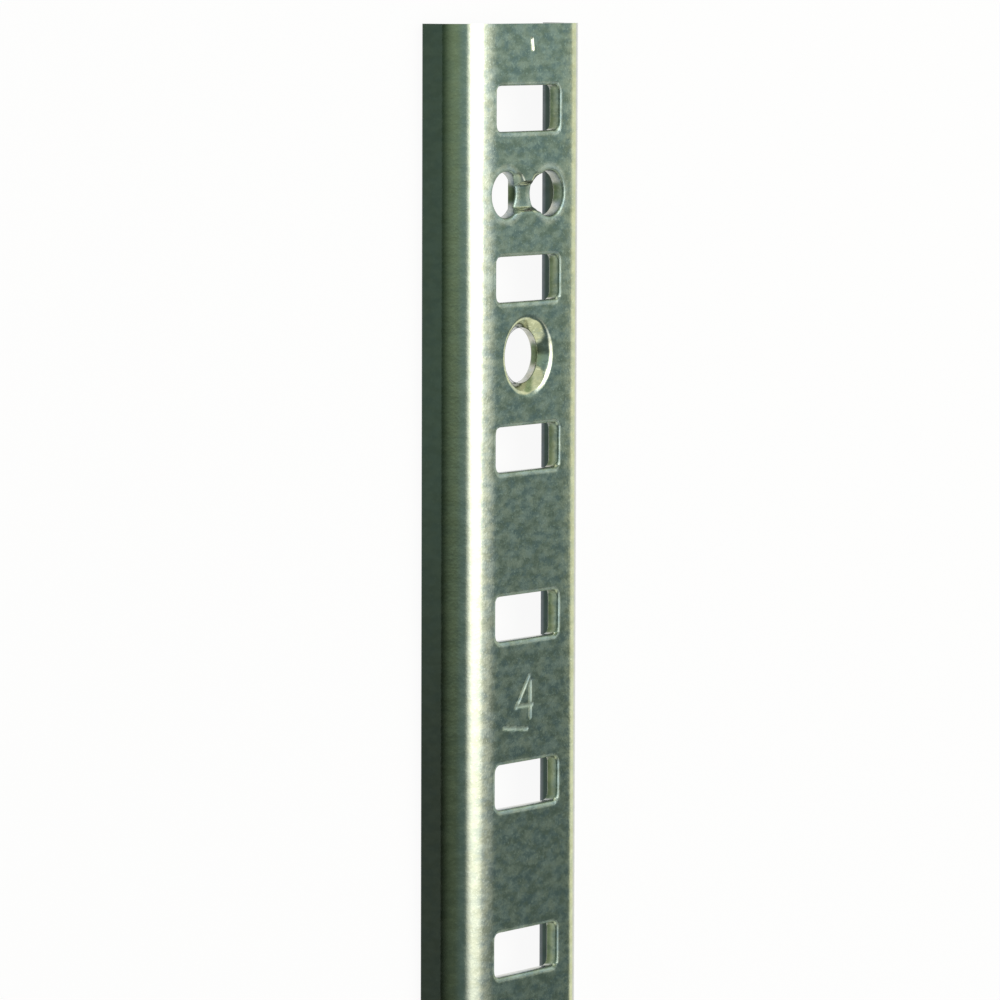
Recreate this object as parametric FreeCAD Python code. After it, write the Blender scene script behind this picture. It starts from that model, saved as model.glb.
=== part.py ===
import FreeCAD, Part
import math
import os

from FreeCAD import Vector

# A shelf standard: one strip of sheet steel formed into a shallow channel.
# It lies on its flange edges. X is its width, Y its length and Z its depth.
# The face that shelf clips hook into looks up, and the top end is at +Y.

# Sizes of the channel, in mm
channel_width = 15.875
channel_depth = 4.0
sheet_thickness = 1.0
inside_bend_radius = 1.6
edge_rounding = 0.2

# Slots for the shelf clips, one row after the other down the strip
slot_pitch = 12.7
slot_count = 48
slot_width = 7.7
slot_height = 3.5
slot_corner_radius = 0.6

# The lands between the slots repeat in modules. A land is known by how many slots lie above it.
module_slot_count = 12
staple_land_slot_count = 1
screw_land_slot_count = 2

# Screw hole, pressed into a dimple that takes a flat screw head, a little above the middle of its land
screw_hole_offset = 0.6
screw_hole_diameter = 4.15
countersink_angle = 100.0
screw_hole_wall = 0.65
dimple_height = 0.35
dimple_wall = 0.75
dimple_rim_width = 0.33
dimple_rim_depth = 0.12

# Pair of holes for the legs of a staple. The bridge between them is pressed in, which also thins it.
staple_hole_diameter = 3.45
staple_hole_spacing = 5.3
bridge_drop = 0.53
bridge_thickness = 0.75
bridge_seat_length = 1.8
bridge_slope_length = 0.25

# Sizes that follow from those above
channel_length = slot_pitch * slot_count
top_end_y = channel_length / 2
face_z = channel_depth
web_back_z = channel_depth - sheet_thickness
outside_bend_radius = inside_bend_radius + sheet_thickness
half_width = channel_width / 2
cut_margin = sheet_thickness


def box_between(low, high):
    """A box from its low corner to its high corner."""
    size = high - low
    return Part.makeBox(size.x, size.y, size.z, low)


def upright_cylinder(diameter, x, y, low_z, high_z):
    """A cylinder along Z."""
    return Part.makeCylinder(diameter / 2, high_z - low_z, Vector(x, y, low_z))


def prism_along_x(points, low_x, high_x):
    """A closed outline in the YZ plane, drawn out along X."""
    corners = [Vector(low_x, y, z) for y, z in points]
    outline = Part.makePolygon(corners + corners[:1])
    return Part.Face(outline).extrude(Vector(high_x - low_x, 0, 0))


def edges_along(shape, direction, test):
    """The straight edges of a shape that run along a direction and pass a test of their middle."""
    found = []
    for edge in shape.Edges:
        if edge.Curve.TypeId != "Part::GeomLine":
            continue
        along = edge.tangentAt(edge.FirstParameter)
        if abs(along.dot(direction)) > 0.999 and test(edge.CenterOfMass):
            found.append(edge)
    return found


def slot_y(number):
    """Where the middle of a slot lies. Slot 1 is nearest the top end."""
    return top_end_y - (number - 0.5) * slot_pitch


def land_y(slots_above):
    """Where the middle of the land under so many slots lies."""
    return top_end_y - slots_above * slot_pitch


def lands_of(first):
    """Like lands, each as the count of slots above it: one in a module, and one more near the bottom end."""
    lands = list(range(first, slot_count - module_slot_count // 2, module_slot_count))
    lands.append(slot_count - first)
    return lands


def rounded_bar(half, top, bend_radius):
    """A bar as long as the strip, from the floor up, with its two upper corners bent round."""
    low = Vector(-half, -channel_length / 2, 0)
    bar = box_between(low, Vector(half, channel_length / 2, top))
    corners = edges_along(bar, Vector(0, 1, 0), lambda middle: middle.z > top / 2)
    return bar.makeFillet(bend_radius, corners)


def bare_channel():
    """The bent sheet before it is pierced, with the outer corners of its flange edges eased."""
    outside = rounded_bar(half_width, face_z, outside_bend_radius)
    inside = rounded_bar(half_width - sheet_thickness, web_back_z, inside_bend_radius)
    channel = outside.cut(inside)
    flange_corners = edges_along(
        channel,
        Vector(0, 1, 0),
        lambda middle: middle.z < edge_rounding and abs(middle.x) > half_width - sheet_thickness / 2,
    )
    return channel.makeFillet(edge_rounding, flange_corners)


def slot_cutter(y):
    """The punch of one slot: a block with rounded corners, through the web."""
    block = box_between(
        Vector(-slot_width / 2, y - slot_height / 2, web_back_z - cut_margin),
        Vector(slot_width / 2, y + slot_height / 2, face_z + cut_margin),
    )
    corners = edges_along(block, Vector(0, 0, 1), lambda middle: True)
    return block.makeFillet(slot_corner_radius, corners)


def turned_solid(points, y):
    """An outline of radius and height pairs, turned about an upright axis at the strip's middle."""
    corners = [Vector(radius, y, z) for radius, z in points]
    outline = Part.makePolygon(corners + corners[:1])
    return Part.Face(outline).revolve(Vector(0, y, 0), Vector(0, 0, 1), 360)


def cone_radius(above_foot):
    """Radius of the countersink at a height above the foot of its cone."""
    return screw_hole_diameter / 2 + above_foot * math.tan(math.radians(countersink_angle / 2))


def dimple_back(y):
    """The metal that the dimple pushes out behind the web, a short blunt cone."""
    tip_radius = screw_hole_diameter / 2 + dimple_wall
    spread = cone_radius(dimple_height) - cone_radius(0)
    root_z = web_back_z + sheet_thickness / 2
    root_spread = cone_radius(dimple_height + sheet_thickness / 2) - cone_radius(0)
    return turned_solid([
        (0, web_back_z - dimple_height),
        (tip_radius, web_back_z - dimple_height),
        (tip_radius + spread, web_back_z),
        (tip_radius + root_spread, root_z),
        (0, root_z),
    ], y)


def screw_cutter(y):
    """What is open at a screw hole: its wall, its cone and a shallow rim that rolls into the face."""
    foot_z = web_back_z - dimple_height + screw_hole_wall
    rim_z = face_z - dimple_rim_depth
    low_z = web_back_z - dimple_height - cut_margin
    high_z = face_z + cut_margin
    cone_top = cone_radius(rim_z - foot_z)
    return turned_solid([
        (0, low_z),
        (cone_radius(0), low_z),
        (cone_radius(0), foot_z),
        (cone_top, rim_z),
        (cone_top + dimple_rim_width, face_z),
        (cone_top + dimple_rim_width, high_z),
        (0, high_z),
    ], y)


def bridge_outline(y, low_z, high_z):
    """The side of a pressed bridge: a flat seat with a slope up to the web at each end."""
    seat = bridge_seat_length / 2
    foot = seat + bridge_slope_length
    return [(y - foot, high_z), (y - seat, low_z), (y + seat, low_z), (y + foot, high_z)]


def bridge_width():
    """Metal left between the two staple holes, with a little more so that the holes trim it."""
    return staple_hole_spacing - staple_hole_diameter / 2


def bridge_back(y):
    """The metal of the bridge that is pushed out behind the web."""
    outline = bridge_outline(y, face_z - bridge_drop - bridge_thickness, web_back_z)
    return prism_along_x(outline, -bridge_width() / 2, bridge_width() / 2)


def bridge_groove(y):
    """The groove over the bridge that the staple's crown lies in."""
    low_y, seat_low, seat_high, high_y = bridge_outline(y, face_z - bridge_drop, face_z)
    above = face_z + cut_margin
    outline = [low_y, seat_low, seat_high, high_y, (high_y[0], above), (low_y[0], above)]
    return prism_along_x(outline, -bridge_width() / 2, bridge_width() / 2)


def staple_holes(y):
    """The two round holes of a staple pair, through the web and past the bridge's sides."""
    low_z = web_back_z - bridge_drop - cut_margin
    high_z = face_z + cut_margin
    return [
        upright_cylinder(staple_hole_diameter, side * staple_hole_spacing / 2, y, low_z, high_z)
        for side in (-1, 1)
    ]


def shelf_standard():
    """The finished strip: bent, pressed behind the web, then pierced."""
    screw_places = [land_y(n) + screw_hole_offset for n in lands_of(screw_land_slot_count)]
    staple_places = [land_y(n) for n in lands_of(staple_land_slot_count)]
    pushed_out = [dimple_back(y) for y in screw_places]
    pushed_out += [bridge_back(y) for y in staple_places]
    strip = bare_channel().fuse(pushed_out)
    cutters = [slot_cutter(slot_y(n)) for n in range(1, slot_count + 1)]
    cutters += [screw_cutter(y) for y in screw_places]
    cutters += [bridge_groove(y) for y in staple_places]
    for y in staple_places:
        cutters += staple_holes(y)
    return strip.cut(cutters).removeSplitter()


os.makedirs("parts", exist_ok=True)
shelf_standard().exportStep("parts/shelf_standard.step")
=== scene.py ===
import math

import bmesh
import bpy
from mathutils import Matrix, Vector


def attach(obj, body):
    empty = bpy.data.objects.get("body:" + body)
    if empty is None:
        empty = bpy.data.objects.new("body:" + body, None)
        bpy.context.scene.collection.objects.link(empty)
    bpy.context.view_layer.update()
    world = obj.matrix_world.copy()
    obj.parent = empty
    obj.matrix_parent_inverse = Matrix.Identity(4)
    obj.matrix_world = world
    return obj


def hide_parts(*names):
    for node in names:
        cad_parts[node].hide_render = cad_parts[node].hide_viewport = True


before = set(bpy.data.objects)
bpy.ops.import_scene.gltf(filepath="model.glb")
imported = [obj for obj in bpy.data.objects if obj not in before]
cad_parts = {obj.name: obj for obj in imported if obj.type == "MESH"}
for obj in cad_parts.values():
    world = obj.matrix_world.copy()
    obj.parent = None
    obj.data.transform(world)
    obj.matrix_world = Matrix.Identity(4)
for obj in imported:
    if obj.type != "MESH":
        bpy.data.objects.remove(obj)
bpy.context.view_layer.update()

MM = 0.001

# Sizes of the strip in mm, the same as in the part's source
CHANNEL_WIDTH = 15.875
CHANNEL_DEPTH = 4.0
SHEET = 1.0
INSIDE_BEND = 1.6
OUTSIDE_BEND = INSIDE_BEND + SHEET
EDGE_ROUNDING = 0.2
SLOT_PITCH = 12.7
SLOT_COUNT = 48
SLOT_WIDTH = 7.7
SLOT_HEIGHT = 3.5
SLOT_CORNER = 0.6
MODULE_SLOTS = 12
STAPLE_LAND = 1
SCREW_LAND = 2
SCREW_OFFSET = 0.6
SCREW_HOLE_RADIUS = 4.15 / 2
SCREW_HOLE_WALL = 0.65
DIMPLE_HEIGHT = 0.35
DIMPLE_WALL = 0.75
STAPLE_HOLE_RADIUS = 3.45 / 2
STAPLE_SPACING = 5.3
BRIDGE_DROP = 0.53
BRIDGE_THICKNESS = 0.75

# The dimple rolls in from the face like a funnel, then runs straight to its foot at this angle from upright
FUNNEL_ANGLE = math.radians(49)
FUNNEL_ROLL = 0.65

# The pressed bridge's flat seat, towards the top end and away from it, and the slopes that end it. Round the
# holes its face sinks in an arch instead, and its back sinks just enough to keep the holes' far edges straight.
BRIDGE_SEAT_UP = 0.66
BRIDGE_SEAT_DOWN = 0.95
BRIDGE_SLOPE = 0.38
BRIDGE_ARCH_UP = 1.5
BRIDGE_ARCH_DOWN = 1.38
BACK_ARCH = 0.76

# The bridge holds on to this much of each hole's rim, and what sinks with it ends short of the holes' middles
BRIDGE_HOLD = math.radians(62)
BRIDGE_HALF_WIDTH = STAPLE_SPACING / 2 - 0.5
BRIDGE_REACH = 2.2

HALF_LENGTH = SLOT_PITCH * SLOT_COUNT / 2
HALF_WIDTH = CHANNEL_WIDTH / 2
BEND_X = HALF_WIDTH - OUTSIDE_BEND
FACE = CHANNEL_DEPTH
BACK = CHANNEL_DEPTH - SHEET

# The punches draw the face down a little where they enter, and leave a keen edge behind. A slot's rim is widest
# below, and its lower edge lies a little higher than in the part's source.
SLOT_ROLL = 0.17
LOWER_LIP = 0.2
LOWER_EDGE_LIFT = 0.1
STAPLE_ROLL = 0.2
STAPLE_SPREAD = 0.5
CORNER_REACH = 0.4
KEEN_EDGE = 0.04
TEAR_FLARE = 0.03
TEAR_HEIGHT = 0.45
FLAT_RIM = 0.1

# The blunt tip behind each dimple is eased at its outer corner, and its inner edge is a touch lifted
TIP_EASE_WIDTH = 0.1
TIP_EASE_HEIGHT = 0.05
TIP_LIFT = 0.005

# Steps that the curves are made in
SLOT_CORNER_STEPS = 7
DIMPLE_STEPS = 64
STAPLE_STEPS = 144
ROLL_STEPS = 4
FUNNEL_STEPS = 9
SPREAD_CUTS = 3
BRIDGE_CUTS = 9
OUTSIDE_BEND_STEPS = 20
INSIDE_BEND_STEPS = 14
EDGE_STEPS = 5

# How near points lie to count as one, as clear of the face, as on a cutting plane, or as level with each other
SAME = 1e-4
CLEAR = 1e-3
ON_PLANE = 1e-5
LEVEL = 1e-6

# How much deeper the punch draws each slot's corners, in mm: left and right of the upper end, then of the
# lower. The photo shows six slots, and the rest repeat them.
CORNER_DRAWS = (
    ((0.14, 0.0), (0.03, 0.05)),
    ((0.16, 0.02), (0.03, 0.1)),
    ((0.06, 0.08), (0.0, 0.14)),
    ((0.14, 0.07), (0.03, 0.2)),
    ((0.0, 0.08), (0.0, 0.09)),
    ((0.09, 0.08), (0.04, 0.16)),
)
# A drawn corner shines more than the scuffed rim round it: the rim's wear and painted shade fall by this much a
# mm of draw
DRAWN_SHINE = 6

# The web leans down slightly towards its bends, more on the left than on the right
CROWN_START = 3.4
CROWN_SLOPES = {-1: math.tan(math.radians(5.5)), 1: math.tan(math.radians(2.5))}
CROWN_LINES = (3.4, 3.75, 4.1, 4.45, 4.8, 5.1)
FLANGE_TOP = FACE - OUTSIDE_BEND

# A plain number stamped on every fourth land, with a line under it
NUMBER_STEP = 4
DIGIT_HEIGHT = 3.15
DIGIT_WIDTH = 2.0
DIGIT_GAP = 0.6
NUMBER_SHIFT = (-0.36, 0.28)
UNDERLINE = ((-2.85, -1.82), (0.0, -2.13))
# The strokes' dulled share also darkens them with the rims' painted shade
STROKE = {"half_width": 0.16, "depth": 0.035, "spacing": 0.1, "dulled": 0.9}

# One bright nick in the land above slot 1, given by how far its ends lie below the top end
NICK_LINE = ((0.35, 1.15), (0.45, 1.9))
NICK = {"half_width": 0.18, "depth": 0.09, "spacing": 0.05, "dulled": 0.0}

# The finer mesh round a stamped stroke reaches this far past it
PLATE_MARGIN = 0.3

# Faces that meet at more than this keep a sharp edge
SHARP_ANGLE = math.radians(38)

# Where the eye is, in mm and degrees: level with the top end, turned about the strip's length
VIEW_TURN = 52.6
VIEW_DIP = 5.24
VIEW_ROLL = 0.17
EYE_Y = 309.04
EYE_ACROSS = -2.08
EYE_DISTANCE = 435.0
LENS_PIXELS = 5820
PICTURE_PIXELS = 1000
SENSOR_WIDTH = 36.0
CAMERA_CLIP = (0.01, 50.0)

# Half the width of the floor, in metres, and how much of it the eye sees as plain white
FLOOR_HALF = 6.0
FLOOR_WHITE = 0.93

# The overhead lamp, in metres and degrees from upright: brightest along its middle line, and fading towards
# the strip's bottom end
LAMP_SIZE = (0.73, 0.60)
LAMP_DISTANCE = 0.5
LAMP_LEAN = 14.3
LAMP_SKEW = 6.0
LAMP_Y = 0.33
LAMP_RADIANCE = 3.9
LAMP_FADE = (0.03, 0.45)
LAMP_CORE = 0.1

# The room that the metal mirrors. A direction is given by its X, Y and Z, each from -1 to 1. The ceiling is
# grey, darkens beyond the strip's bottom end, and comes down to the floor on the left.
CEILING_SPAN = (-0.13, 0.0)
CEILING_LEVELS = (0.18, 0.44)
LEFT_EDGE = (-0.8, -0.45)
LEFT_LEVELS = (0.12, 0.45)

# A white wall stands round the rest, with a soft upper edge that tilts a little along the strip. It is higher
# beyond the strip's two ends, and a dim doorway is in it beyond the top end.
WALL_LEVEL = 1.18
WALL_EDGE = (0.34, 0.52)
WALL_TILT = 0.05
WALL_TILT_SPAN = (-0.17, -0.09)
WALL_RISE = 0.3
RISE_BEYOND = (0.35, 0.65)
RISE_ACROSS = (0.45, 0.65)
DOORWAY_LEVEL = 0.5
DOORWAY_BEYOND = (0.45, 0.6)
DOORWAY_TOP = (0.3, 0.5)

# What the surfaces that spread light get from the room
ROOM_LEVEL = 0.3


def slot_y(number):
    """Middle of a slot, counted from the top end."""
    return HALF_LENGTH - (number - 0.5) * SLOT_PITCH


def land_y(number):
    """Middle of the land between a slot and the next."""
    return HALF_LENGTH - number * SLOT_PITCH


def lands_of(first):
    """One land in each module, and one more near the bottom end."""
    return list(range(first, SLOT_COUNT - MODULE_SLOTS // 2, MODULE_SLOTS)) + [SLOT_COUNT - first]


def edges_of(verts):
    """All edges whose two ends are among these vertices."""
    inside = set(verts)
    return list({e for v in verts for e in v.link_edges if e.other_vert(v) in inside})


def boundary_ring(bm, width, height, corner, steps, centre):
    """A closed ring of edges: a rectangle whose corners are rounded in steps."""
    made = bmesh.ops.create_grid(bm, x_segments=1, y_segments=1, size=0.5)["verts"]
    bmesh.ops.scale(bm, vec=(width, height, 1), verts=made)
    bmesh.ops.translate(bm, vec=centre, verts=made)
    rounded = bmesh.ops.bevel(bm, geom=made, offset=corner, offset_type="OFFSET", segments=steps,
                              profile=0.5, affect="VERTICES", material=-1, clamp_overlap=True)
    faces = rounded["faces"] + [f for v in rounded["verts"] for f in v.link_faces]
    face = max(faces, key=lambda f: len(f.verts))
    ring = list(face.edges)
    bmesh.ops.delete(bm, geom=[face], context="FACES_ONLY")
    return ring


def circle_ring(bm, radius, steps, centre):
    """A closed ring of edges: a circle."""
    made = bmesh.ops.create_circle(bm, cap_ends=False, segments=steps, radius=radius,
                                   matrix=Matrix.Translation(centre))["verts"]
    return edges_of(made)


def stack(bm, rings):
    """Walls between each ring of edges and the next."""
    for upper, lower in zip(rings, rings[1:]):
        bmesh.ops.bridge_loops(bm, edges=upper + lower)


def mark(bm, rings, name):
    """Marks rings of edges for the material, as the scuffed rims with their painted shade, or the slots' walls.
    """
    layer = bm.verts.layers.float[name]
    for v in {v for ring in rings for e in ring for v in e.verts}:
        v[layer] = 1.0


def roll_steps(roll):
    """Offset and drop of each ring of a punch's rolled rim, from the face to the hole's wall."""
    turns = [math.pi / 2 * i / ROLL_STEPS for i in range(ROLL_STEPS + 1)]
    return [(roll * (1 - math.sin(a)), roll * (1 - math.cos(a))) for a in turns]


def slot_walls(bm, y):
    """One slot: a flat rim, the rolled rim, the cut wall and the keen edge behind."""
    def ring(grow, z):
        centre = (0, y + LOWER_EDGE_LIFT / 2 - LOWER_LIP * grow, z)
        height = SLOT_HEIGHT - LOWER_EDGE_LIFT + 2 * grow
        return boundary_ring(bm, SLOT_WIDTH + 2 * grow, height, SLOT_CORNER + grow, SLOT_CORNER_STEPS, centre)

    rolled = [ring(grow, FACE - drop) for grow, drop in roll_steps(SLOT_ROLL)]
    torn = [ring(0, BACK + TEAR_HEIGHT), ring(TEAR_FLARE, BACK + KEEN_EDGE), ring(TEAR_FLARE + KEEN_EDGE, BACK)]
    mark(bm, rolled, "scuffed_shaded_rim")
    mark(bm, rolled + torn, "slot_wall")
    stack(bm, [ring(SLOT_ROLL + 2 * FLAT_RIM, FACE)] + rolled + torn)


def dimple_walls(bm, y):
    """One screw dimple: the funnel, the hole's wall, and the blunt tip behind the web."""
    foot = BACK - DIMPLE_HEIGHT + SCREW_HOLE_WALL
    tip = BACK - DIMPLE_HEIGHT
    full_turn = math.pi / 2 - FUNNEL_ANGLE
    rim = SCREW_HOLE_RADIUS + (FACE - foot) * math.tan(FUNNEL_ANGLE) + FUNNEL_ROLL * math.tan(full_turn / 2)
    profile = [(rim + FLAT_RIM, FACE)]
    for i in range(FUNNEL_STEPS + 1):
        turn = full_turn * i / FUNNEL_STEPS
        profile.append((rim - FUNNEL_ROLL * math.sin(turn), FACE - FUNNEL_ROLL * (1 - math.cos(turn))))
    profile += [(SCREW_HOLE_RADIUS + grow, z) for grow, z in (
        (KEEN_EDGE, foot + KEEN_EDGE),
        (0, foot - KEEN_EDGE),
        (0, tip + 2 * KEEN_EDGE),
        (KEEN_EDGE, tip + TIP_LIFT),
        (DIMPLE_WALL - TIP_EASE_WIDTH, tip),
        (DIMPLE_WALL, tip + TIP_EASE_HEIGHT),
        (DIMPLE_WALL + DIMPLE_HEIGHT, BACK),
    )]
    stack(bm, [circle_ring(bm, radius, DIMPLE_STEPS, (0, y, z)) for radius, z in profile])


def faces_bridge(edge, y, x, radius):
    """Does this edge of a staple hole's ring face the bridge between the two holes?"""
    middle = (edge.verts[0].co + edge.verts[1].co) / 2
    return (middle.x - x) * x < 0 and abs(middle.y - y) < radius * math.sin(BRIDGE_HOLD)


def staple_walls(bm, y):
    """A pair of staple holes with the bridge between them, face and back."""
    upper, lower = [], []
    for side in (-1, 1):
        x = side * STAPLE_SPACING / 2
        profile = [(STAPLE_HOLE_RADIUS + STAPLE_ROLL + STAPLE_SPREAD, FACE)]
        profile += [(STAPLE_HOLE_RADIUS + grow, FACE - drop) for grow, drop in roll_steps(STAPLE_ROLL)]
        profile += [(STAPLE_HOLE_RADIUS, BACK + KEEN_EDGE), (STAPLE_HOLE_RADIUS + KEEN_EDGE, BACK)]
        rings = [circle_ring(bm, radius, STAPLE_STEPS, (x, y, z)) for radius, z in profile]
        upper.append((rings[0], x, profile[0][0]))
        lower.append((rings[-1], x, profile[-1][0]))
        inner = {v for e in rings[1] for v in e.verts}
        outer = {v for e in rings[0] for v in e.verts}
        mark(bm, rings[1:ROLL_STEPS + 2], "scuffed_shaded_rim")
        stack(bm, rings)
        spokes = [e for v in outer for e in v.link_edges if e.other_vert(v) in inner]
        bmesh.ops.subdivide_edges(bm, edges=spokes, cuts=SPREAD_CUTS, use_grid_fill=True)
    for pair in (upper, lower):
        facing = [[e for e in ring if faces_bridge(e, y, x, radius)] for ring, x, radius in pair]
        bridged = bmesh.ops.bridge_loops(bm, edges=facing[0] + facing[1])
        across = [e for e in bridged["edges"] if abs(e.verts[0].co.y - e.verts[1].co.y) < LEVEL]
        bmesh.ops.subdivide_edges(bm, edges=across, cuts=BRIDGE_CUTS, use_grid_fill=True)


def smooth(share):
    """A share from 0 to 1 with a soft start and end."""
    share = min(1.0, max(0.0, share))
    return share * share * (3 - 2 * share)


def bridge_sink(co, y):
    """How far the pressed bridge has sunk at a point between the two holes."""
    off = co.y - y
    if abs(co.x) > BRIDGE_HALF_WIDTH or abs(off) >= STAPLE_HOLE_RADIUS:
        return 0.0
    if off > 0:
        over = (off - BRIDGE_SEAT_UP) / BRIDGE_SLOPE
        arch = BRIDGE_ARCH_UP
    else:
        over = (-off - BRIDGE_SEAT_DOWN) / BRIDGE_SLOPE
        arch = BRIDGE_ARCH_DOWN
    reach = math.hypot(STAPLE_SPACING / 2 - abs(co.x), off) - STAPLE_HOLE_RADIUS
    at_hole = 1 - smooth(reach / (STAPLE_ROLL + STAPLE_SPREAD))
    arched = at_hole * math.sqrt(max(0.0, 1 - (off / arch) ** 2))
    face_sink = BRIDGE_DROP * max(arched, 1 - smooth(over))
    bulge = STAPLE_HOLE_RADIUS - math.sqrt(STAPLE_HOLE_RADIUS ** 2 - off * off)
    back_sink = max(0.0, BRIDGE_DROP - SHEET + BRIDGE_THICKNESS - BACK_ARCH * bulge)
    depth = min(1.0, max(0.0, (FACE - co.z) / SHEET))
    return face_sink + (back_sink - face_sink) * depth


def corner_draw(co):
    """How far the punch has drawn the rolled rim down at a slot's corner."""
    if not FACE - SLOT_ROLL - CLEAR < co.z < FACE - CLEAR:
        return 0.0
    down = HALF_LENGTH - co.y
    along = down % SLOT_PITCH - SLOT_PITCH / 2
    inset = SLOT_CORNER * (1 - math.sqrt(0.5))
    across = abs(co.x) - (SLOT_WIDTH / 2 - inset)
    reach = math.hypot(across, abs(along) - (SLOT_HEIGHT / 2 - inset))
    draws = CORNER_DRAWS[int(down // SLOT_PITCH) % len(CORNER_DRAWS)]
    return draws[along > 0][co.x > 0] * smooth(1 - reach / CORNER_REACH)


# The digits' strokes, each a line through points of a box one wide and one high
DIGITS = {
    "0": [[(0.5, 0), (0.12, 0.2), (0, 0.5), (0.12, 0.8), (0.5, 1), (0.88, 0.8), (1, 0.5), (0.88, 0.2),
           (0.5, 0)]],
    "1": [[(0.2, 0.8), (0.55, 1), (0.55, 0)]],
    "2": [[(0.02, 0.78), (0.2, 0.96), (0.5, 1), (0.85, 0.93), (0.95, 0.7), (0.75, 0.42), (0, 0), (1, 0)]],
    "3": [[(0.05, 0.95), (0.5, 1), (0.9, 0.85), (0.85, 0.62), (0.45, 0.53), (0.9, 0.4), (0.95, 0.15), (0.5, 0),
           (0.03, 0.08)]],
    "4": [[(0.8, 1), (0, 0.27)], [(0, 0.3), (1, 0.3)], [(0.88, 0.87), (0.88, 0)]],
    "5": [[(0.9, 1), (0.15, 1), (0.08, 0.56), (0.5, 0.62), (0.92, 0.5), (0.97, 0.2), (0.5, 0), (0.03, 0.08)]],
    "6": [[(0.85, 0.95), (0.35, 0.85), (0.05, 0.5), (0.05, 0.2), (0.45, 0), (0.9, 0.12), (0.92, 0.42),
           (0.5, 0.56), (0.08, 0.38)]],
    "7": [[(0, 1), (1, 1), (0.35, 0)]],
    "8": [[(0.5, 0.54), (0.1, 0.7), (0.15, 0.93), (0.5, 1), (0.85, 0.93), (0.9, 0.7), (0.5, 0.54),
           (0.03, 0.35), (0.08, 0.08), (0.5, 0), (0.92, 0.08), (0.97, 0.35), (0.5, 0.54)]],
    "9": [[(0.92, 0.62), (0.5, 0.44), (0.08, 0.58), (0.1, 0.88), (0.55, 1), (0.95, 0.8), (0.95, 0.5),
           (0.65, 0.15), (0.15, 0.05)]],
}


def number_strokes(number, y):
    """The strokes of a stamped number and its underline, as pairs of points in mm."""
    text = str(number)
    width = len(text) * DIGIT_WIDTH + (len(text) - 1) * DIGIT_GAP
    strokes = [tuple(Vector((x, y + up)) for x, up in UNDERLINE)]
    for place, digit in enumerate(text):
        left = NUMBER_SHIFT[0] - width / 2 + place * (DIGIT_WIDTH + DIGIT_GAP)
        middle = y + NUMBER_SHIFT[1]
        for line in DIGITS[digit]:
            points = [Vector((left + u * DIGIT_WIDTH, middle + (v - 0.5) * DIGIT_HEIGHT)) for u, v in line]
            strokes += list(zip(points, points[1:]))
    return strokes


def stroke_distance(point, strokes):
    """Distance from a point to the nearest stroke."""
    nearest = math.inf
    for a, b in strokes:
        along = b - a
        share = min(1.0, max(0.0, (point - a).dot(along) / along.length_squared))
        nearest = min(nearest, (point - a - along * share).length)
    return nearest


def stamped_plate(bm, strokes, half_width, depth, spacing, dulled):
    """A fine patch of the face with strokes pressed into it, dulled by a share, which also darkens them with
    painted shade.
    """
    points = [point for stroke in strokes for point in stroke]
    low = Vector((min(p.x for p in points), min(p.y for p in points)))
    high = Vector((max(p.x for p in points), max(p.y for p in points)))
    centre = (low + high) / 2
    width, height = (high - low) + Vector((PLATE_MARGIN, PLATE_MARGIN)) * 2
    columns, rows = round(width / spacing), round(height / spacing)
    made = bmesh.ops.create_grid(bm, x_segments=columns, y_segments=rows, size=0.5)["verts"]
    bmesh.ops.scale(bm, vec=(width, height, 1), verts=made)
    bmesh.ops.translate(bm, vec=(centre.x, centre.y, FACE), verts=made)
    border = {v for e in edges_of(made) if len(e.link_faces) == 1 for v in e.verts}
    scuff_and_shade = bm.verts.layers.float["scuffed_shaded_rim"]
    for v in set(made) - border:
        share = stroke_distance(v.co.xy, strokes) / half_width
        if share < 1:
            v.co.z -= depth * (1 + math.cos(math.pi * share)) / 2
            v[scuff_and_shade] = dulled


def swept_side(bm, side):
    """One bend and flange, from the web's face round to the web's back."""
    start = [bm.verts.new((side * BEND_X, y, FACE)) for y in (-HALF_LENGTH, HALF_LENGTH)]
    edge = bm.edges.new(start)
    axis = Vector((0, side, 0))

    def turn(edge, cent, angle, steps, way):
        made = bmesh.ops.spin(bm, geom=[edge] + list(edge.verts), cent=cent, axis=axis * way, dvec=(0, 0, 0),
                              angle=angle, steps=steps, use_merge=False)
        return [e for e in made["geom_last"] if isinstance(e, bmesh.types.BMEdge)][0]

    def move(edge, vec):
        made = bmesh.ops.extrude_edge_only(bm, edges=[edge])["geom"]
        bmesh.ops.translate(bm, vec=vec, verts=[v for v in made if isinstance(v, bmesh.types.BMVert)])
        return [e for e in made if isinstance(e, bmesh.types.BMEdge) and len(e.link_faces) == 1
                and abs(e.verts[0].co.y - e.verts[1].co.y) > 1][0]

    quarter = math.pi / 2
    edge = turn(edge, (side * BEND_X, 0, FLANGE_TOP), quarter, OUTSIDE_BEND_STEPS, 1)
    edge = move(edge, (0, 0, EDGE_ROUNDING - FLANGE_TOP))
    edge = turn(edge, (side * (HALF_WIDTH - EDGE_ROUNDING), 0, EDGE_ROUNDING), quarter, EDGE_STEPS, 1)
    edge = move(edge, (-side * (SHEET - EDGE_ROUNDING - KEEN_EDGE), 0, 0))
    edge = move(edge, (-side * KEEN_EDGE, 0, KEEN_EDGE))
    edge = move(edge, (0, 0, BACK - INSIDE_BEND - KEEN_EDGE))
    turn(edge, (side * BEND_X, 0, BACK - INSIDE_BEND), quarter, INSIDE_BEND_STEPS, -1)


def at_level(verts, z):
    """Do all these points lie in the plane of the web's face, or of its back?"""
    return all(abs(v.co.z - z) < SAME for v in verts)


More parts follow.
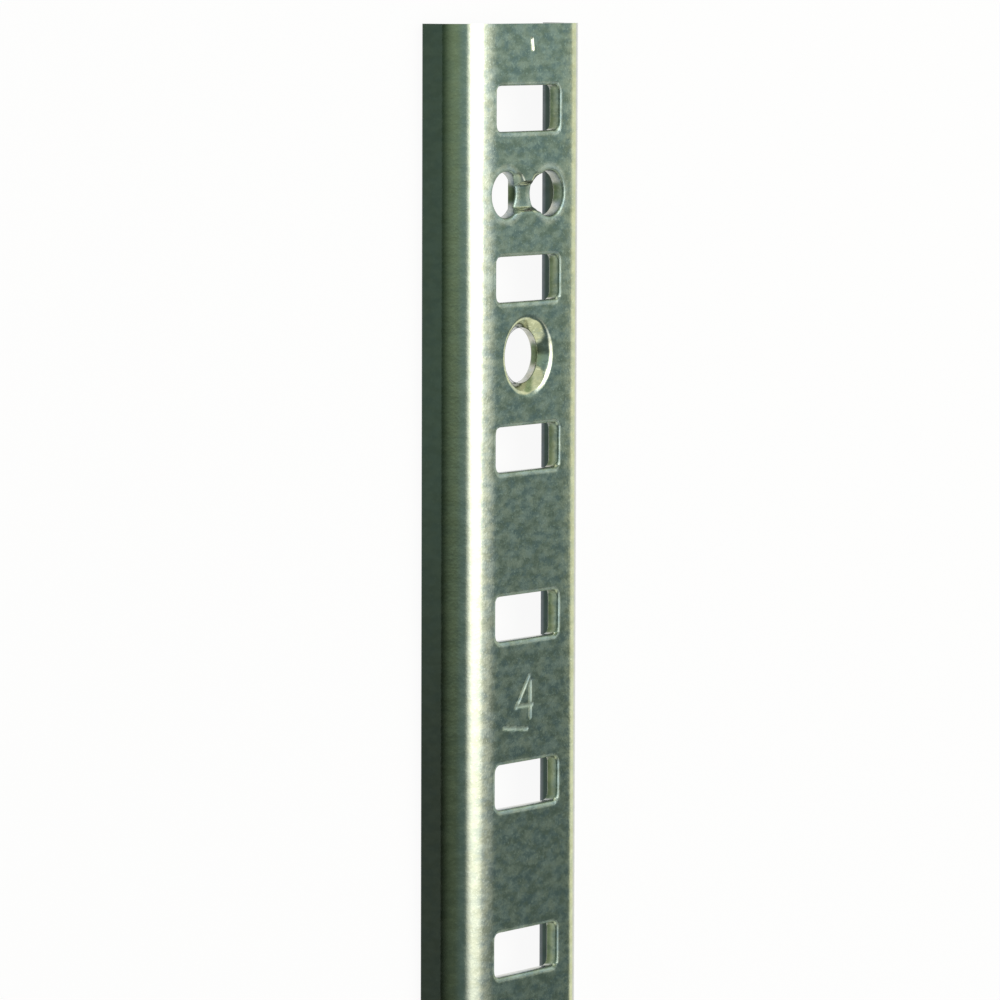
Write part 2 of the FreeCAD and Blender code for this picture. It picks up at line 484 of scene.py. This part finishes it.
def ladder(bm):
    """Rungs across the web: at both ends, and from each slot's sides to the bends."""
    for y in (-HALF_LENGTH, HALF_LENGTH):
        for z in (FACE, BACK):
            corners = [v for v in bm.verts if abs(v.co.y - y) < SAME and abs(v.co.z - z) < SAME]
            bm.edges.new(corners)
    for n in range(1, SLOT_COUNT + 1):
        y = slot_y(n)
        near = [f for f in bm.faces if min(v.co.y for v in f.verts) < y < max(v.co.y for v in f.verts)]
        parts = near + list({e for f in near for e in f.edges} | {v for f in near for v in f.verts})
        cut = bmesh.ops.bisect_plane(bm, geom=parts, dist=ON_PLANE, plane_co=(0, y, 0), plane_no=(0, 1, 0))
        points = [v for v in cut["geom_cut"] if isinstance(v, bmesh.types.BMVert)]
        for z in (FACE, BACK):
            row = sorted((v for v in points if at_level([v], z)), key=lambda v: v.co.x)
            bm.edges.new(row[:2])
            bm.edges.new(row[-2:])


def fill_web(bm):
    """The web's face and back, one land at a time, round everything that is already there."""
    marks = [HALF_LENGTH] + [slot_y(n) for n in range(1, SLOT_COUNT + 1)] + [-HALF_LENGTH]
    for z in (FACE, BACK):
        bare = [e for e in bm.edges if len(e.link_faces) < 2 and at_level(e.verts, z)]
        for high, low in zip(marks, marks[1:]):
            land = [e for e in bare if all(low - SAME < v.co.y < high + SAME for v in e.verts)]
            bmesh.ops.triangle_fill(bm, edges=land, use_beauty=True, use_dissolve=False)


def build_strip():
    """The whole strip as one closed shell, in mm."""
    bm = bmesh.new()
    bm.verts.layers.float.new("scuffed_shaded_rim")
    bm.verts.layers.float.new("slot_wall")
    for n in range(1, SLOT_COUNT + 1):
        slot_walls(bm, slot_y(n))
    for n in lands_of(SCREW_LAND):
        dimple_walls(bm, land_y(n) + SCREW_OFFSET)
    for n in lands_of(STAPLE_LAND):
        staple_walls(bm, land_y(n))
    for n in range(NUMBER_STEP, SLOT_COUNT, NUMBER_STEP):
        stamped_plate(bm, number_strokes(n, land_y(n)), **STROKE)
    nick = tuple(Vector((x, HALF_LENGTH - down)) for x, down in NICK_LINE)
    stamped_plate(bm, [nick], **NICK)
    for side in (-1, 1):
        swept_side(bm, side)
    ladder(bm)
    fill_web(bm)
    for y in (-HALF_LENGTH, HALF_LENGTH):
        end = [e for e in bm.edges if len(e.link_faces) == 1
               and all(abs(v.co.y - y) < SAME for v in e.verts)]
        bmesh.ops.contextual_create(bm, geom=end)
    bmesh.ops.remove_doubles(bm, verts=bm.verts, dist=SAME)
    for x in CROWN_LINES:
        for side in (-1, 1):
            bmesh.ops.bisect_plane(bm, geom=bm.verts[:] + bm.edges[:] + bm.faces[:], dist=ON_PLANE,
                                   plane_co=(side * x, 0, 0), plane_no=(side, 0, 0))
    return bm


def web_drop(x, z):
    """How far the web leans down at a distance from the middle line. The flanges keep their height."""
    out = abs(x) - CROWN_START
    if out <= 0:
        return 0.0
    slope = CROWN_SLOPES[1 if x > 0 else -1]
    run = BEND_X - CROWN_START
    near = min(1.0, out / run)
    far = min(1.0, max(0.0, (out - run) / OUTSIDE_BEND))
    drop = slope * (run * (near ** 3 - near ** 4 / 2) + OUTSIDE_BEND * (far - far * far / 2))
    return drop * smooth((z - FLANGE_TOP) / (BACK - SHEET / 2 - FLANGE_TOP))


def press_strip(bm):
    """Sinks the bridges, draws the slots' corners in, and leans the web down towards its bends."""
    places = [land_y(n) for n in lands_of(STAPLE_LAND)]
    scuff_and_shade = bm.verts.layers.float["scuffed_shaded_rim"]
    for v in bm.verts:
        drawn = corner_draw(v.co)
        v[scuff_and_shade] *= 1 - min(1.0, DRAWN_SHINE * drawn)
        drop = web_drop(v.co.x, v.co.z) + drawn
        for y in places:
            if abs(v.co.y - y) < BRIDGE_REACH and v.co.z > BACK - SAME:
                drop += bridge_sink(v.co, y)
        v.co.z -= drop


def make_piece(bm, name, material):
    """A bmesh in mm as a finished piece of the strip in metres, smooth but for its cut edges."""
    bmesh.ops.recalc_face_normals(bm, faces=bm.faces)
    bmesh.ops.scale(bm, vec=(MM, MM, MM), verts=bm.verts)
    mesh = bpy.data.meshes.new(name)
    bm.to_mesh(mesh)
    bm.free()
    mesh.shade_smooth()
    mesh.set_sharp_from_angle(angle=SHARP_ANGLE)
    mesh.materials.append(material)
    piece = bpy.data.objects.new(name, mesh)
    bpy.context.collection.objects.link(piece)
    return piece


def linear(code):
    """An sRGB hex colour as the linear colour that a shader takes."""
    parts = [int(code[i:i + 2], 16) / 255 for i in (1, 3, 5)]
    return [v / 12.92 if v <= 0.04045 else ((v + 0.055) / 1.055) ** 2.4 for v in parts] + [1.0]


def add(tree, kind, inputs=None, **settings):
    """Adds a node with its settings. An input takes a value, or a socket that it is linked to."""
    node = tree.nodes.new(kind)
    for name, value in settings.items():
        setattr(node, name, value)
    for name, value in (inputs or {}).items():
        if isinstance(value, bpy.types.NodeSocket):
            tree.links.new(value, node.inputs[name])
        else:
            node.inputs[name].default_value = value
    return node


def blank_material(name):
    """A material with an empty node tree."""
    material = bpy.data.materials.new(name)
    material.use_nodes = True
    material.node_tree.nodes.clear()
    return material


def span(tree, value, limits, ends=(0.0, 1.0), shape="SMOOTHSTEP"):
    """A value's place between two limits, as a share that runs from the first end to the second."""
    inputs = {"Value": value, "From Min": limits[0], "From Max": limits[1],
              "To Min": ends[0], "To Max": ends[1]}
    return add(tree, "ShaderNodeMapRange", inputs, interpolation_type=shape).outputs[0]


def mix(tree, factor, a, b, way="MIX"):
    """Two colours mixed, or multiplied."""
    return add(tree, "ShaderNodeMix", {0: factor, 6: a, 7: b}, data_type="RGBA", blend_type=way).outputs[2]


def blend(tree, factor, a, b):
    """Two plain values mixed."""
    return add(tree, "ShaderNodeMix", {0: factor, 2: a, 3: b}, data_type="FLOAT").outputs[0]


def reckon(tree, operation, *values, **settings):
    """A sum, product or other reckoning of plain values."""
    return add(tree, "ShaderNodeMath", dict(enumerate(values)), operation=operation, **settings).outputs[0]


def noise(tree, place, scale, detail, roughness=0.5):
    """A cloudy pattern's strength at a place."""
    inputs = {"Vector": place, "Scale": scale, "Detail": detail, "Roughness": roughness}
    return add(tree, "ShaderNodeTexNoise", inputs).outputs["Fac"]


def per_metre(size_mm):
    """Scale of a pattern whose features are this many mm across."""
    return 1 / (size_mm * MM)


def stretched(tree, place, across_mm, along_mm):
    """Places scaled for a pattern whose features have one size across the strip and another along it."""
    scale = (per_metre(across_mm), per_metre(along_mm), per_metre(across_mm))
    return add(tree, "ShaderNodeMapping", {"Vector": place, "Scale": scale}).outputs[0]


def mm_span(low, high):
    """Two limits in mm as metres."""
    return low * MM, high * MM


def film_colour(tree, axes, facing):
    """Painted shade on the flanges for the dark room they mirror: grey-green outside, lighter near the top end,
    and slate inside, with a paler blue-grey painted highlight at the inner face's lower edge.
    """
    outer = mix(tree, span(tree, axes["Y"], (0.245, 0.28)), linear("#47524c"), linear("#576b62"))
    inner = mix(tree, span(tree, axes["Z"], mm_span(0.5, 1.0)), linear("#576867"), linear("#5f6a5f"))
    inner = mix(tree, span(tree, axes["Z"], mm_span(0.1, 0.45)), linear("#929aa6"), inner)
    outside = span(tree, reckon(tree, "MULTIPLY", axes["X"], facing["X"]), mm_span(-0.1, 0.1))
    return mix(tree, outside, inner, outer)


def cut_share(tree, off_middle, facing):
    """Where the surface is a wall that the punch cut, which gets bare colour and painted shade: upright, turned
    sideways, and not a flange.
    """
    slot_wall = add(tree, "ShaderNodeAttribute", attribute_name="slot_wall").outputs["Fac"]
    sideways = reckon(tree, "ABSOLUTE", facing["X"])
    turned = blend(tree, slot_wall, span(tree, sideways, (0.85, 0.97)), span(tree, sideways, (0.3, 0.7)))
    level = reckon(tree, "ABSOLUTE", facing["Z"])
    upright = reckon(tree, "MULTIPLY", span(tree, level, (0.15, 0.6), (1, 0)), turned)
    return reckon(tree, "MULTIPLY", upright, span(tree, off_middle, mm_span(4.7, 5.2), (1, 0)))


def zinc_plate():
    """Bright zinc plate on rolled steel strip, dulled by handling. It gives a soft sheen with a mottle of
    grey, blue and olive tones, fine specks, and rolling streaks along the strip."""
    material = blank_material("zinc_plate")
    tree = material.node_tree
    coordinates = add(tree, "ShaderNodeTexCoord").outputs
    place = coordinates["Object"]
    axes = add(tree, "ShaderNodeSeparateXYZ", {0: place}).outputs
    facing = add(tree, "ShaderNodeSeparateXYZ", {0: coordinates["Normal"]}).outputs
    off_middle = reckon(tree, "ABSOLUTE", axes["X"])

    # Patches of the plating, about 1.3 mm across the strip and 0.8 mm along it, and others that shift its hue
    spread = stretched(tree, place, 1.3, 0.8)
    patches = noise(tree, spread, 1.0, 4.0, 0.62)
    shifted = add(tree, "ShaderNodeMapping", {"Vector": spread, "Location": (7.3, 2.1, 4.7)}).outputs[0]
    hue = span(tree, noise(tree, shifted, 0.9, 3.0, 0.6), (0.42, 0.6))
    dark = mix(tree, hue, linear("#a8aa9b"), linear("#a1a9a8"))
    light = mix(tree, hue, linear("#cbcabb"), linear("#c7cac2"))
    tone = mix(tree, span(tree, patches, (0.36, 0.64)), dark, light)

    # Specks are about 0.05 mm on the real strip, drawn at 0.22 mm so that they show
    specks = noise(tree, place, per_metre(0.22), 1.0)
    tone = mix(tree, span(tree, specks, (0.58, 0.72), (0.0, 0.55)), tone, linear("#e2e2d8"))

    # Rolling streaks are about 0.25 mm wide and 12 mm long
    streaks = noise(tree, stretched(tree, place, 0.25, 12), 1.0, 3.0, 0.6)
    tone = mix(tree, span(tree, streaks, (0.3, 0.7), (0.0, 0.15)), tone, linear("#a5a89d"))

    # The bends and flanges are rolled smoother, which evens out the mottle
    tone = mix(tree, span(tree, off_middle, mm_span(5.0, 6.2), (0.0, 0.6)), tone, linear("#b9bbae"))

    # The flanges are darkened with painted shade, which stands in for the dark surroundings they mirror
    beyond = span(tree, off_middle, mm_span(5.0, 6.6))
    flange_shade_share = reckon(tree, "MULTIPLY", beyond, span(tree, axes["Z"], mm_span(1.8, 2.8), (1, 0)))
    flange_shaded_tone = mix(tree, 1.0, tone, film_colour(tree, axes, facing), "MULTIPLY")
    tone = mix(tree, flange_shade_share, tone, flange_shaded_tone)

    # The cut walls are bare and rough. Those that face sideways also get painted shade, olive and darkest at
    # the back and paler towards the face
    cut = cut_share(tree, off_middle, facing)
    bare = mix(tree, span(tree, axes["Z"], mm_span(3.2, 3.85)), linear("#90a383"), linear("#e8f6dc"))
    tone = mix(tree, cut, tone, mix(tree, 1.0, tone, bare, "MULTIPLY"))

    # The rims that the punches rolled over are scuffed dull and rough, and tinted darker and bluer as painted
    # shade that dims their highlight
    scuffed_shaded_rim = add(tree, "ShaderNodeAttribute", attribute_name="scuffed_shaded_rim").outputs["Fac"]
    tone = mix(tree, scuffed_shaded_rim, tone, mix(tree, 1.0, tone, linear("#c4d2dc"), "MULTIPLY"))

    rough = span(tree, patches, (0.3, 0.7), (0.13, 0.17))
    rough = blend(tree, cut, rough, 0.4)
    rough = blend(tree, scuffed_shaded_rim, rough, 0.42)
    relief = reckon(tree, "ADD", patches, specks)
    bump = add(tree, "ShaderNodeBump", {"Strength": 0.28, "Distance": 0.012 * MM, "Height": relief}).outputs[0]
    shader = add(tree, "ShaderNodeBsdfPrincipled",
                 {"Base Color": tone, "Metallic": 1.0, "Roughness": rough, "Normal": bump})
    add(tree, "ShaderNodeOutputMaterial", {"Surface": shader.outputs[0]})
    return material


def seen_white(tree):
    """1 for what the eye, a mirror or glass sees directly, and 0 for the light that a surface spreads."""
    ray = add(tree, "ShaderNodeLightPath").outputs
    first = reckon(tree, "ADD", ray["Is Camera Ray"], ray["Is Glossy Ray"])
    return reckon(tree, "ADD", first, ray["Is Transmission Ray"], use_clamp=True)


def floor_paper():
    """Matt white paper, which the eye sees nearly white with a faint shadow."""
    material = blank_material("floor_paper")
    tree = material.node_tree
    matt = add(tree, "ShaderNodeBsdfDiffuse", {"Color": linear("#ececea")})
    glow = add(tree, "ShaderNodeEmission", {"Color": linear("#ffffff"), "Strength": 1.0})
    share = reckon(tree, "MULTIPLY", seen_white(tree), FLOOR_WHITE)
    both = add(tree, "ShaderNodeMixShader", {0: share, 1: matt.outputs[0], 2: glow.outputs[0]})
    add(tree, "ShaderNodeOutputMaterial", {"Surface": both.outputs[0]})
    return material


def lay_floor():
    """A wide sheet of paper that the strip lies on."""
    bm = bmesh.new()
    bmesh.ops.create_grid(bm, x_segments=1, y_segments=1, size=FLOOR_HALF)
    mesh = bpy.data.meshes.new("floor")
    bm.to_mesh(mesh)
    bm.free()
    mesh.materials.append(floor_paper())
    floor = bpy.data.objects.new("floor", mesh)
    bpy.context.collection.objects.link(floor)


def ceiling_colour(tree, toward, left):
    """The grey ceiling, greener where it comes down on the left."""
    def graded(tint, levels):
        return mix(tree, 1.0, linear(tint), span(tree, toward["Y"], CEILING_SPAN, levels, "LINEAR"), "MULTIPLY")

    return mix(tree, left, graded("#d4fff6", CEILING_LEVELS), graded("#dcfed5", LEFT_LEVELS))


def wall_colour(tree, toward):
    """The white wall, dimmer in its doorway."""
    bright = [v * WALL_LEVEL for v in linear("#faffdc")]
    dim = [v * DOORWAY_LEVEL for v in linear("#e2ffc8")]
    beyond = span(tree, toward["Y"], DOORWAY_BEYOND)
    doorway = reckon(tree, "MULTIPLY", beyond, span(tree, toward["Z"], DOORWAY_TOP, (1, 0)))
    return mix(tree, doorway, bright, dim)


def above_wall(tree, toward):
    """1 for directions that pass over the wall's upper edge, and 0 for those that meet it."""
    off_side = reckon(tree, "ABSOLUTE", toward["Y"])
    off_middle = reckon(tree, "ABSOLUTE", toward["X"])
    ends = reckon(tree, "MULTIPLY", span(tree, off_side, RISE_BEYOND, (0, WALL_RISE)),
                  span(tree, off_middle, RISE_ACROSS, (1, 0)))
    rise = reckon(tree, "ADD", ends, span(tree, toward["Y"], WALL_TILT_SPAN, (-WALL_TILT, WALL_TILT)))
    return span(tree, reckon(tree, "SUBTRACT", toward["Z"], rise), WALL_EDGE)


def paint_room():
    """The room round the strip, which only the metal mirrors. The eye sees it plain white."""
    world = bpy.data.worlds.new("room")
    bpy.context.scene.world = world
    world.use_nodes = True
    tree = world.node_tree
    tree.nodes.clear()
    way = add(tree, "ShaderNodeTexCoord").outputs["Generated"]
    toward = add(tree, "ShaderNodeSeparateXYZ", {0: way}).outputs
    left = span(tree, toward["X"], LEFT_EDGE, (1, 0))
    overhead = reckon(tree, "MAXIMUM", above_wall(tree, toward), left)
    mirrored = mix(tree, overhead, wall_colour(tree, toward), ceiling_colour(tree, toward, left))
    colour = mix(tree, seen_white(tree), (ROOM_LEVEL,) * 4, mirrored)
    ray = add(tree, "ShaderNodeLightPath").outputs
    colour = mix(tree, ray["Is Camera Ray"], colour, linear("#ffffff"))
    room = add(tree, "ShaderNodeBackground", {"Color": colour, "Strength": 1.0})
    add(tree, "ShaderNodeOutputWorld", {"Surface": room.outputs[0]})


def hang_lamp():
    """One wide soft lamp overhead, brightest along its middle line."""
    lamp = bpy.data.lights.new("overhead_lamp", "AREA")
    lamp.shape = "RECTANGLE"
    lamp.size, lamp.size_y = LAMP_SIZE
    lamp.energy = LAMP_RADIANCE * math.pi * lamp.size * lamp.size_y
    lamp.use_nodes = True
    tree = lamp.node_tree
    tree.nodes.clear()
    spot = add(tree, "ShaderNodeNewGeometry").outputs["Parametric"]
    across, along, _ = add(tree, "ShaderNodeSeparateXYZ", {0: spot}).outputs
    off_line = reckon(tree, "ABSOLUTE", reckon(tree, "SUBTRACT", across, 0.5))
    core = span(tree, off_line, (LAMP_CORE, 0.5), (1, 0))
    soft = reckon(tree, "MULTIPLY", core, span(tree, along, LAMP_FADE, shape="LINEAR"))
    glow = add(tree, "ShaderNodeEmission", {"Color": linear("#fffff2"), "Strength": soft})
    add(tree, "ShaderNodeOutputLight", {"Surface": glow.outputs[0]})
    holder = bpy.data.objects.new("overhead_lamp", lamp)
    lean = math.radians(LAMP_LEAN)
    holder.location = (LAMP_DISTANCE * math.sin(lean), LAMP_Y, LAMP_DISTANCE * math.cos(lean))
    holder.rotation_euler = (0, lean, math.radians(LAMP_SKEW))
    bpy.context.collection.objects.link(holder)


def place_camera():
    """Looks at the top end from the left, with the strip's length up the picture."""
    turn = math.radians(VIEW_TURN)
    dip = math.radians(VIEW_DIP)
    across = Vector((math.cos(turn), 0, math.sin(turn)))
    away = Vector((-math.sin(turn), 0, math.cos(turn)))
    look = -away * math.cos(dip) + Vector((0, -1, 0)) * math.sin(dip)
    back = -look
    up = Vector((0, 1, 0)) - back * back.y
    up.normalize()
    up = Matrix.Rotation(math.radians(VIEW_ROLL), 3, back) @ up
    right = up.cross(back)
    spot = Vector((0, EYE_Y, FACE)) + across * EYE_ACROSS + away * EYE_DISTANCE
    camera = bpy.data.objects.new("camera", bpy.data.cameras.new("camera"))
    camera.matrix_world = Matrix.Translation(spot * MM) @ Matrix((right, up, back)).transposed().to_4x4()
    camera.data.sensor_width = SENSOR_WIDTH
    camera.data.lens = SENSOR_WIDTH * LENS_PIXELS / PICTURE_PIXELS
    camera.data.clip_start, camera.data.clip_end = CAMERA_CLIP
    bpy.context.collection.objects.link(camera)
    bpy.context.scene.camera = camera


bm = build_strip()
press_strip(bm)
strip = make_piece(bm, "shelf_strip", zinc_plate())
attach(strip, "root")
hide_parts("shelf_standard")

lay_floor()
paint_room()
hang_lamp()
place_camera()
bpy.context.scene.view_settings.view_transform = "Standard"
